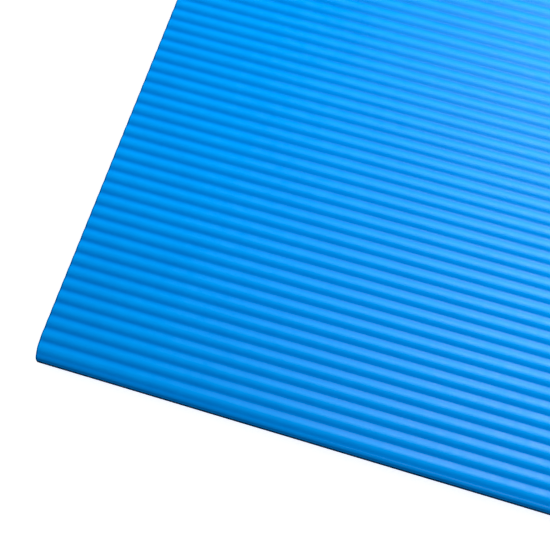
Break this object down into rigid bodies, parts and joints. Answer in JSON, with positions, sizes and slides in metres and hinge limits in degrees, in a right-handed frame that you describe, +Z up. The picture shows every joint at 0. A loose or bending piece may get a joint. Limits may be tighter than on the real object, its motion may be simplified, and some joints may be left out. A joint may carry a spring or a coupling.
{
  "type": "folding incline wedge mat",
  "caption": "Folding foam incline wedge mat with a blue ribbed top sheet, vinyl cover, zipped faces, webbing side handles and hook-and-loop closing tabs.",
  "frame": {"origin": "on the floor, under the fold line, midway across the width", "axes": "+X across the mat along the ribs, +Y uphill from the thin toe to the tall end, +Z up"},
  "size_m": [0.623, 1.226, 0.3552],
  "materials": {
    "ribbed_foam": "satin, fine ribs",
    "vinyl_blue": "grained, semi-matte",
    "base_vinyl": "matte, non-slip",
    "core_foam": "open-cell foam",
    "webbing": "woven",
    "zip_tape": "woven",
    "zip_teeth": "moulded",
    "nickel": "nickel-plated",
    "hook_and_loop": "napped"
  },
  "bodies": {
    "high_section": {"high_foam_core": "core_foam", "high_ribbed_sheet": "ribbed_foam", "high_base_panel": "base_vinyl", "high_left_panel": "vinyl_blue", "high_right_panel": "vinyl_blue", "high_top_panel": "vinyl_blue", "high_back_panel": "vinyl_blue", "high_fold_panel": "vinyl_blue", "hinge_web_high": "vinyl_blue", "high_zip_tape": "zip_tape", "high_zip_chain": "zip_teeth", "high_zip_stop_open": "nickel", "high_zip_stop_closed": "nickel", "high_left_vent_a": "nickel", "high_left_vent_b": "nickel", "high_right_vent_a": "nickel", "high_right_vent_b": "nickel", "left_handle_front_end": "webbing", "left_handle_rear_end": "webbing", "right_handle_front_end": "webbing", "right_handle_rear_end": "webbing", "left_tab_root": "vinyl_blue", "right_tab_root": "vinyl_blue"},
    "low_section": {"low_foam_core": "core_foam", "low_ribbed_sheet": "ribbed_foam", "low_base_panel": "base_vinyl", "low_left_panel": "vinyl_blue", "low_right_panel": "vinyl_blue", "low_top_panel": "vinyl_blue", "low_fold_panel": "vinyl_blue", "hinge_web_low": "vinyl_blue", "low_zip_tape": "zip_tape", "low_zip_chain": "zip_teeth", "low_zip_stop_open": "nickel", "low_zip_stop_closed": "nickel", "low_left_vent": "nickel", "low_right_vent": "nickel", "low_left_loop_patch": "hook_and_loop", "low_right_loop_patch": "hook_and_loop"},
    "left_handle": {"left_handle_loop": "webbing"},
    "right_handle": {"right_handle_loop": "webbing"},
    "left_tab": {"left_tab_flap": "vinyl_blue", "left_tab_hook_tape": "hook_and_loop"},
    "right_tab": {"right_tab_flap": "vinyl_blue", "right_tab_hook_tape": "hook_and_loop"},
    "high_zip_slider": {"high_zip_slider": "nickel"},
    "high_zip_pull": {"high_zip_pull": "nickel"},
    "low_zip_slider": {"low_zip_slider": "nickel"}
  },
  "joints": [
    {"name": "fold", "type": "hinge", "parent": "high_section", "child": "low_section", "pos_m": [0, 0, 0.18348], "axis": [-1, 0, 0], "range_deg": [0, 180]},
    {"name": "left_handle_swing", "type": "hinge", "parent": "high_section", "child": "left_handle", "pos_m": [-0.309, 0.28, 0.212], "axis": [0, 1, 0], "range_deg": [0, 170]},
    {"name": "right_handle_swing", "type": "hinge", "parent": "high_section", "child": "right_handle", "pos_m": [0.309, 0.28, 0.212], "axis": [0, -1, 0], "range_deg": [0, 170]},
    {"name": "left_tab_swing", "type": "hinge", "parent": "high_section", "child": "left_tab", "pos_m": [-0.30775, 0.43602, 0.28437], "axis": [0, 0.962, 0.2731], "range_deg": [0, 180]},
    {"name": "right_tab_swing", "type": "hinge", "parent": "high_section", "child": "right_tab", "pos_m": [0.30775, 0.43602, 0.28437], "axis": [0, -0.962, -0.2731], "range_deg": [0, 180]},
    {"name": "high_zip_run", "type": "slide", "parent": "high_section", "child": "high_zip_slider", "axis": [-1, 0, 0], "range_m": [0, 0.5]},
    {"name": "high_zip_pull_swing", "type": "hinge", "parent": "high_zip_slider", "child": "high_zip_pull", "pos_m": [0.25, 0.6141, 0.056], "axis": [0, 0, 1], "range_deg": [0, 170]},
    {"name": "low_zip_run", "type": "slide", "parent": "low_section", "child": "low_zip_slider", "axis": [-1, 0, 0], "range_m": [0, 0.5]}
  ]
}
